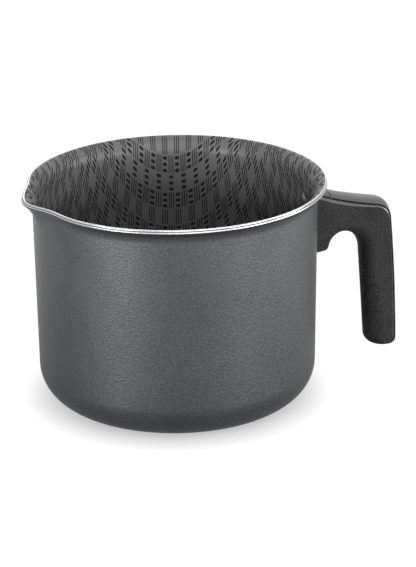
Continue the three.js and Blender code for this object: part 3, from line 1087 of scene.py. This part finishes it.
def makeScrew():
    low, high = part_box("handle_screw")
    piece = pieceByTree("slottedScrew", screwTree(), {
        **screwSizes,
        "length": high.z - low.z,
        "reach": (low.x + high.x) / 2,
        "height": low.z,
        "metal": steelFinish,
    })
    smoothPiece(piece)
    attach(piece, "root")
    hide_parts("handle_screw")
    return piece


screw = makeScrew()
print("screw made:", len(screw.data.polygons), "faces")


# Fixings inside the socket keep their solids

for name in ("handle_bracket", "spring_washer", "square_nut"):
    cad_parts[name].data.materials.clear()
    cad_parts[name].data.materials.append(steelFinish)
print("fixings finished")


# Stage

stageLook = {
    "floorSize": 6.0,
    "floorColour": grey(0.16),
    "floorGlow": 0.90,
    "contactShadowRadii": (0.032, 0.079),  # painted contact shadow: the floor's glow fades out towards the pot between these
    "mirroredGlow": 1.12,
    "mirroredShadowRadii": (-0.05, 0.30),  # painted shade in reflections: the glow that reflections see fades towards the pot between these, so the pot's lower wall mirrors a darker floor; it starts below 0, so some of it is left at the pot's axis
    "farGlow": 0.35,  # keeps the floor white where the lamps no longer reach
    "farGlowRadii": (0.35, 1.2),
    "world": 0.24,
    "lampAim": (0, 0, 0.06),
}


def mirroredRays(tree):  # 1 where a reflection or a view through something sees it
    ray = Wire.node(tree, "ShaderNodeLightPath", output="Is Glossy Ray")
    return ray.math("MAXIMUM", ray.other("Is Transmission Ray"))


def cameraRays(tree):
    return Wire.node(tree, "ShaderNodeLightPath", output="Is Camera Ray")


def fadeBetween(away, radii):
    return ((away - radii[0]) / (radii[1] - radii[0])).clamped()


def makeFloor():
    finish, tree = newFinish("paleFloor")
    look = stageLook
    matt = Wire.node(tree, "ShaderNodeBsdfDiffuse", None, {"Color": look["floorColour"]})
    settings = {"operation": "LENGTH"}
    away = Wire.node(tree, "ShaderNodeVectorMath", settings, {0: objectPlace(tree)}, "Value")
    # painted contact shadow: the glow the camera sees fades out near the pot
    near = fadeBetween(away, look["contactShadowRadii"]) * look["floorGlow"]
    far = fadeBetween(away, look["farGlowRadii"]) * look["farGlow"]
    # painted shade seen in reflections: the floor darkens towards the pot, so the pot's wall darkens
    # towards its base
    mirrored = fadeBetween(away, look["mirroredShadowRadii"]) * look["mirroredGlow"]
    level = cameraRays(tree) * (near + far) + mirroredRays(tree) * mirrored
    glow = Wire.node(tree, "ShaderNodeEmission", None, {"Color": grey(1), "Strength": level})
    endFinish(finish, Wire.node(tree, "ShaderNodeAddShader", None, {0: matt, 1: glow}))
    form = bmesh.new()
    bmesh.ops.create_grid(form, x_segments=1, y_segments=1, size=look["floorSize"] / 2)
    floor = meshPiece("floor", form, finish)


def makeWorld():
    world = bpy.data.worlds.new("studio")
    bpy.context.scene.world = world
    world.use_nodes = True
    tree = world.node_tree
    tree.nodes.clear()
    seen = cameraRays(tree).math("MAXIMUM", mirroredRays(tree))
    level = stageLook["world"] + (1 - stageLook["world"]) * seen
    glow = Wire.node(tree, "ShaderNodeBackground", None, {"Color": grey(1), "Strength": level})
    Wire.node(tree, "ShaderNodeOutputWorld", None, {"Surface": glow})


lampPlaces = {  # azimuth from the camera's side, elevation, distance, width, height, watts
    "leftBox": (-44, 7, 1.0, 0.36, 0.30, 9.7),
    "rightBox": (52, 7, 1.0, 0.45, 0.30, 6.5),
    "sideBox": (88, 5, 1.0, 0.35, 0.40, 7.2),
    "frontBox": (10, 14, 1.1, 0.7, 0.35, 2.9),
    "topBox": (16, 51, 1.1, 0.75, 0.35, 3.7),
    "backBox": (180, 36, 1.2, 0.6, 0.6, 4.8),
}
cameraPlace = {  # metres and degrees, with the lens and the sensor in millimetres
    "place": (-0.3657, -1.1598, 0.5168),
    "yaw": 18.247,
    "pitch": 20.703,
    "roll": -0.642,
    "lens": 165.08,
    "sensor": 36,
    "farthest": 20,
}


def makeLamps():
    facing = math.atan2(cameraPlace["place"][1], cameraPlace["place"][0])
    aim = Vector(stageLook["lampAim"])
    for name, (turn, lift, distance, width, tall, watts) in lampPlaces.items():
        lamp = bpy.data.lights.new(name, "AREA")
        lamp.shape = "RECTANGLE"
        lamp.size = width
        lamp.size_y = tall
        lamp.energy = watts
        angle = facing + math.radians(turn)
        rise = math.radians(lift)
        flat = math.cos(rise)
        away = Vector((math.cos(angle) * flat, math.sin(angle) * flat, math.sin(rise)))
        stand = bpy.data.objects.new(name, lamp)
        stand.location = aim + away * distance
        stand.rotation_euler = (-away).to_track_quat("-Z", "Y").to_euler()
        bpy.context.scene.collection.objects.link(stand)


def makeCamera():
    lens = bpy.data.cameras.new("camera")
    lens.lens = cameraPlace["lens"]
    lens.sensor_width = cameraPlace["sensor"]
    lens.clip_end = cameraPlace["farthest"]
    camera = bpy.data.objects.new("camera", lens)
    turn = Matrix.Rotation(-math.radians(cameraPlace["yaw"]), 4, "Z")
    tip = Matrix.Rotation(math.pi / 2 - math.radians(cameraPlace["pitch"]), 4, "X")
    roll = Matrix.Rotation(math.radians(cameraPlace["roll"]), 4, "Z")
    camera.matrix_world = Matrix.Translation(cameraPlace["place"]) @ turn @ tip @ roll
    bpy.context.scene.collection.objects.link(camera)
    bpy.context.scene.camera = camera


makeFloor()
makeWorld()
makeLamps()
makeCamera()
bpy.context.scene.view_settings.view_transform = "Standard"
print("stage set")
